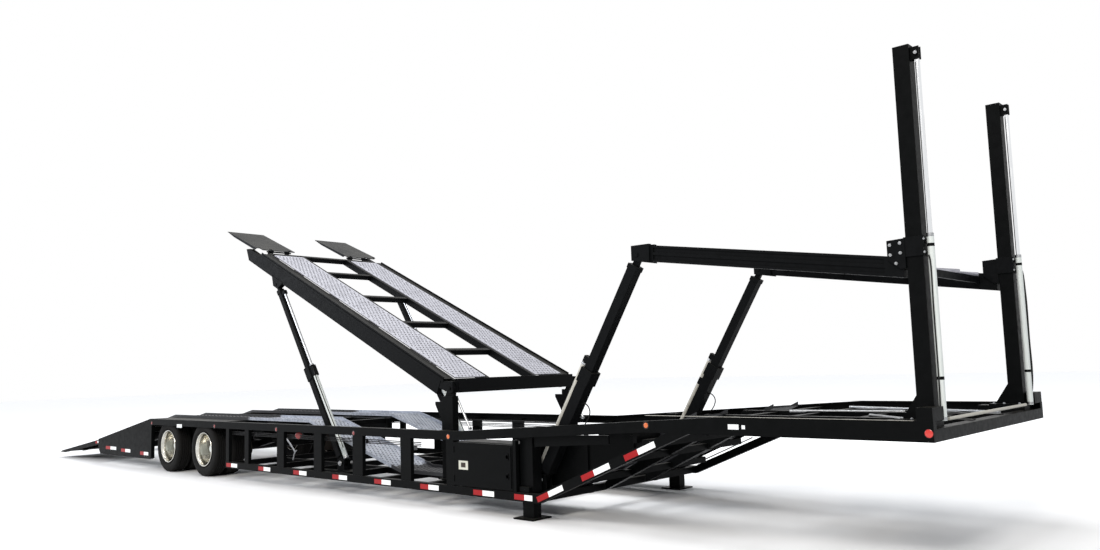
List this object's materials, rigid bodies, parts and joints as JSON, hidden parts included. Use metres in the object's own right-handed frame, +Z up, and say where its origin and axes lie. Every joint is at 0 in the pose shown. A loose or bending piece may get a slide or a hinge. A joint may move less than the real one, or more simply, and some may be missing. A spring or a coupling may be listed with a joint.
{
  "type": "car transporter semi-trailer",
  "caption": "Low black car carrier semi-trailer with a truss frame, a mast-lifted front deck, a raised hinged rear deck on telescoping arms, twin-tyre axles and tail ramps.",
  "frame": {"origin": "centre of the footprint, on the ground", "axes": "+X forward to the coupling end, +Y to the left side, +Z up"},
  "size_m": [15.6, 2.59, 3.55],
  "materials": {
    "frame_black": "gloss black paint",
    "deck_black": "satin black paint",
    "tread_plate": "galvanised tread plate",
    "bright_steel": "polished rod",
    "wheel_aluminium": "polished forged wheel",
    "tyre_rubber": "black tyre"
  },
  "bodies": {
    "frame": {"belly_frame": "frame_black", "rear_frame": "frame_black", "tail_frame": "frame_black", "neck_frame": "frame_black", "axle_front": "frame_black", "axle_rear": "frame_black", "side_frame_right": "frame_black", "lower_track_right": "tread_plate", "mast_right": "frame_black", "mast_rod_right": "bright_steel", "stub_post_right": "frame_black", "leg_outer_right": "frame_black", "toolbox_right": "frame_black", "side_frame_left": "frame_black", "lower_track_left": "tread_plate", "mast_left": "frame_black", "mast_rod_left": "bright_steel", "stub_post_left": "frame_black", "leg_outer_left": "frame_black", "toolbox_left": "frame_black"},
    "front_deck": {"front_deck_frame": "deck_black", "carriage_right": "deck_black", "mast_barrel_right": "bright_steel", "front_tread_right": "tread_plate", "carriage_left": "deck_black", "mast_barrel_left": "bright_steel", "front_tread_left": "tread_plate"},
    "rear_deck": {"rear_deck_frame": "deck_black", "deck_tread_right": "tread_plate", "deck_tread_left": "tread_plate"},
    "wheels_rear_right": {"wheel_rear_right": "wheel_aluminium", "tyre_outer_rear_right": "tyre_rubber", "tyre_inner_rear_right": "tyre_rubber"},
    "wheels_rear_left": {"wheel_rear_left": "wheel_aluminium", "tyre_outer_rear_left": "tyre_rubber", "tyre_inner_rear_left": "tyre_rubber"},
    "wheels_front_right": {"wheel_front_right": "wheel_aluminium", "tyre_outer_front_right": "tyre_rubber", "tyre_inner_front_right": "tyre_rubber"},
    "wheels_front_left": {"wheel_front_left": "wheel_aluminium", "tyre_outer_front_left": "tyre_rubber", "tyre_inner_front_left": "tyre_rubber"},
    "front_arm_right": {"front_arm_lower_right": "deck_black"},
    "front_arm_tube_right": {"front_arm_upper_right": "deck_black"},
    "rear_arm_right": {"rear_arm_lower_right": "deck_black"},
    "rear_arm_tube_right": {"rear_arm_upper_right": "deck_black"},
    "flip_ramp_right": {"flip_ramp_right": "deck_black"},
    "tail_ramp_right": {"tail_ramp_right": "frame_black"},
    "toolbox_door_right": {"toolbox_door_right": "frame_black"},
    "leg_right": {"leg_inner_right": "frame_black"},
    "front_arm_left": {"front_arm_lower_left": "deck_black"},
    "front_arm_tube_left": {"front_arm_upper_left": "deck_black"},
    "rear_arm_left": {"rear_arm_lower_left": "deck_black"},
    "rear_arm_tube_left": {"rear_arm_upper_left": "deck_black"},
    "flip_ramp_left": {"flip_ramp_left": "deck_black"},
    "tail_ramp_left": {"tail_ramp_left": "frame_black"},
    "toolbox_door_left": {"toolbox_door_left": "frame_black"},
    "leg_left": {"leg_inner_left": "frame_black"}
  },
  "joints": [
    {"name": "front_deck_lift", "type": "slide", "parent": "frame", "child": "front_deck", "axis": [0, 0, 1], "range_m": [0, 0.85]},
    {"name": "rear_deck_tilt", "type": "hinge", "parent": "frame", "child": "rear_deck", "pos_m": [2.74, 0, 1.19], "axis": [0, 1, 0], "range_deg": [-24.84, 0]},
    {"name": "axle_rear_right", "type": "hinge", "parent": "frame", "child": "wheels_rear_right", "pos_m": [-3.342, -1.0275, 0.372], "axis": [0, 1, 0], "continuous": true},
    {"name": "axle_rear_left", "type": "hinge", "parent": "frame", "child": "wheels_rear_left", "pos_m": [-3.342, 1.0275, 0.372], "axis": [0, 1, 0], "continuous": true},
    {"name": "axle_front_right", "type": "hinge", "parent": "frame", "child": "wheels_front_right", "pos_m": [-2.224, -1.0275, 0.372], "axis": [0, 1, 0], "continuous": true},
    {"name": "axle_front_left", "type": "hinge", "parent": "frame", "child": "wheels_front_left", "pos_m": [-2.224, 1.0275, 0.372], "axis": [0, 1, 0], "continuous": true},
    {"name": "front_arm_lean_right", "type": "hinge", "parent": "frame", "child": "front_arm_right", "pos_m": [4.12, -1.04, 0.345], "axis": [0, 1, 0], "range_deg": [-8.4, 0]},
    {"name": "front_arm_reach_right", "type": "slide", "parent": "front_arm_right", "child": "front_arm_tube_right", "axis": [0.523, 0, 0.8523], "range_m": [0, 0.76]},
    {"name": "rear_arm_lean_right", "type": "hinge", "parent": "frame", "child": "rear_arm_right", "pos_m": [0.77, -0.97, 0.315], "axis": [0, 1, 0], "range_deg": [-35.6, 0]},
    {"name": "rear_arm_reach_right", "type": "slide", "parent": "rear_arm_right", "child": "rear_arm_tube_right", "axis": [-0.5522, 0, 0.8337], "range_m": [-0.83, 0]},
    {"name": "flip_ramp_hinge_right", "type": "hinge", "parent": "rear_deck", "child": "flip_ramp_right", "pos_m": [-1.2509, -0.72, 3.0903], "axis": [0, 1, 0], "range_deg": [0, 150]},
    {"name": "tail_ramp_hinge_right", "type": "hinge", "parent": "frame", "child": "tail_ramp_right", "pos_m": [-5.96, -0.785, 0.35], "axis": [0, 1, 0], "range_deg": [-2.9, 100]},
    {"name": "toolbox_hinge_right", "type": "hinge", "parent": "frame", "child": "toolbox_door_right", "pos_m": [3.1283, -1.288, 0.45], "axis": [0, 0, 1], "range_deg": [-100, 0]},
    {"name": "leg_winding_right", "type": "slide", "parent": "frame", "child": "leg_right", "axis": [0, 0, 1], "range_m": [0, 0.14]},
    {"name": "front_arm_lean_left", "type": "hinge", "parent": "frame", "child": "front_arm_left", "pos_m": [4.12, 1.04, 0.345], "axis": [0, 1, 0], "range_deg": [-8.4, 0]},
    {"name": "front_arm_reach_left", "type": "slide", "parent": "front_arm_left", "child": "front_arm_tube_left", "axis": [0.523, 0, 0.8523], "range_m": [0, 0.76]},
    {"name": "rear_arm_lean_left", "type": "hinge", "parent": "frame", "child": "rear_arm_left", "pos_m": [0.77, 0.97, 0.315], "axis": [0, 1, 0], "range_deg": [-35.6, 0]},
    {"name": "rear_arm_reach_left", "type": "slide", "parent": "rear_arm_left", "child": "rear_arm_tube_left", "axis": [-0.5522, 0, 0.8337], "range_m": [-0.83, 0]},
    {"name": "flip_ramp_hinge_left", "type": "hinge", "parent": "rear_deck", "child": "flip_ramp_left", "pos_m": [-1.2509, 0.72, 3.0903], "axis": [0, 1, 0], "range_deg": [0, 150]},
    {"name": "tail_ramp_hinge_left", "type": "hinge", "parent": "frame", "child": "tail_ramp_left", "pos_m": [-5.96, 0.785, 0.35], "axis": [0, 1, 0], "range_deg": [-2.9, 100]},
    {"name": "toolbox_hinge_left", "type": "hinge", "parent": "frame", "child": "toolbox_door_left", "pos_m": [3.1283, 1.288, 0.45], "axis": [0, 0, 1], "range_deg": [0, 100]},
    {"name": "leg_winding_left", "type": "slide", "parent": "frame", "child": "leg_left", "axis": [0, 0, 1], "range_m": [0, 0.14]}
  ],
  "couplings": [
    {"joint": "front_arm_lean_right", "follows": "front_deck_lift", "rad_per_m": -0.17043},
    {"joint": "front_arm_reach_right", "follows": "front_deck_lift", "ratio": 0.89035},
    {"joint": "rear_arm_lean_right", "follows": "rear_deck_tilt", "ratio": 1.4259},
    {"joint": "rear_arm_reach_right", "follows": "rear_deck_tilt", "m_per_rad": 1.9092},
    {"joint": "front_arm_lean_left", "follows": "front_deck_lift", "rad_per_m": -0.17043},
    {"joint": "front_arm_reach_left", "follows": "front_deck_lift", "ratio": 0.89035},
    {"joint": "rear_arm_lean_left", "follows": "rear_deck_tilt", "ratio": 1.4259},
    {"joint": "rear_arm_reach_left", "follows": "rear_deck_tilt", "m_per_rad": 1.9092},
    {"joint": "leg_winding_left", "follows": "leg_winding_right", "ratio": 1}
  ]
}
